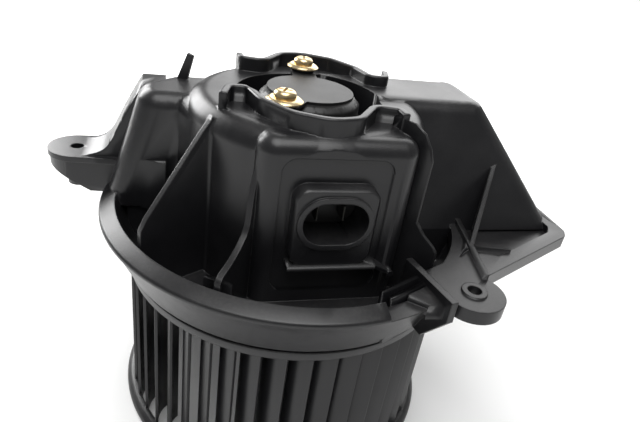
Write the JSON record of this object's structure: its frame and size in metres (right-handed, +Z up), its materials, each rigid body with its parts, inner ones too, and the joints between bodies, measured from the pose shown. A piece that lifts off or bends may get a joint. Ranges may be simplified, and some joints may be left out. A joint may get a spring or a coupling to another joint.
{
  "type": "car cabin blower motor",
  "caption": "Moulded blower motor housing with a domed motor cup, side ducts, an oblong connector port and fixing ears, over a squirrel cage blower wheel.",
  "frame": {"origin": "on the motor's axis at the lower edge of the housing's round skirt", "axes": "+Z up along the motor's axis, away from the wheel; X runs parallel to the line through the two ears; -Y faces the connector port's side"},
  "size_m": [0.24, 0.1927, 0.1658],
  "materials": {
    "housing": "black moulded plastic with a satin sheen",
    "motor_steel": "zinc plated drawn steel",
    "rubber": "soft black rubber",
    "yellow_zinc": "steel with yellow passivated zinc",
    "bronze": "sintered bronze",
    "spring_steel": "spring steel",
    "ferrite": "dark sintered ferrite",
    "phenolic": "brown phenolic card",
    "brass": "folded brass",
    "carbon": "pressed carbon",
    "copper": "enamelled copper wire",
    "insert_plastic": "black plastic",
    "terminal_tin": "dulled tinned brass",
    "ground_steel": "ground steel",
    "core_steel": "stacked steel sheets",
    "nylon": "natural nylon",
    "wheel": "black moulded plastic"
  },
  "bodies": {
    "stator": {"housing": "housing", "motor_can": "motor_steel", "end_bell": "insert_plastic", "support_plate": "insert_plastic", "grommet_front": "rubber", "grommet_back": "rubber", "isolator_ring": "rubber", "clamp_washers": "yellow_zinc", "clamp_screws": "yellow_zinc", "lower_bearing": "bronze", "upper_bearing": "bronze", "lower_retainer": "spring_steel", "upper_retainer": "spring_steel", "magnet_left": "ferrite", "magnet_right": "ferrite", "magnet_clip_front": "spring_steel", "magnet_clip_back": "spring_steel", "brush_card": "phenolic", "brush_holder_left": "brass", "brush_holder_right": "brass", "brush_left": "carbon", "brush_right": "carbon", "brush_spring_left": "spring_steel", "brush_spring_right": "spring_steel", "choke_front": "copper", "choke_back": "copper", "connector_insert": "insert_plastic", "terminal_left": "terminal_tin", "terminal_right": "terminal_tin"},
    "rotor": {"shaft": "ground_steel", "armature_core": "core_steel", "armature_windings": "copper", "commutator": "copper", "commutator_hub": "phenolic", "insulator_low": "insert_plastic", "insulator_top": "insert_plastic", "thrust_washer_low": "nylon", "thrust_washer_top": "nylon", "blower_wheel": "wheel", "hub_bush": "brass", "hub_clip": "spring_steel"}
  },
  "joints": [
    {"name": "motor_spin", "type": "hinge", "parent": "stator", "child": "rotor", "pos_m": [0, 0, 0], "axis": [0, 0, 1], "continuous": true}
  ]
}
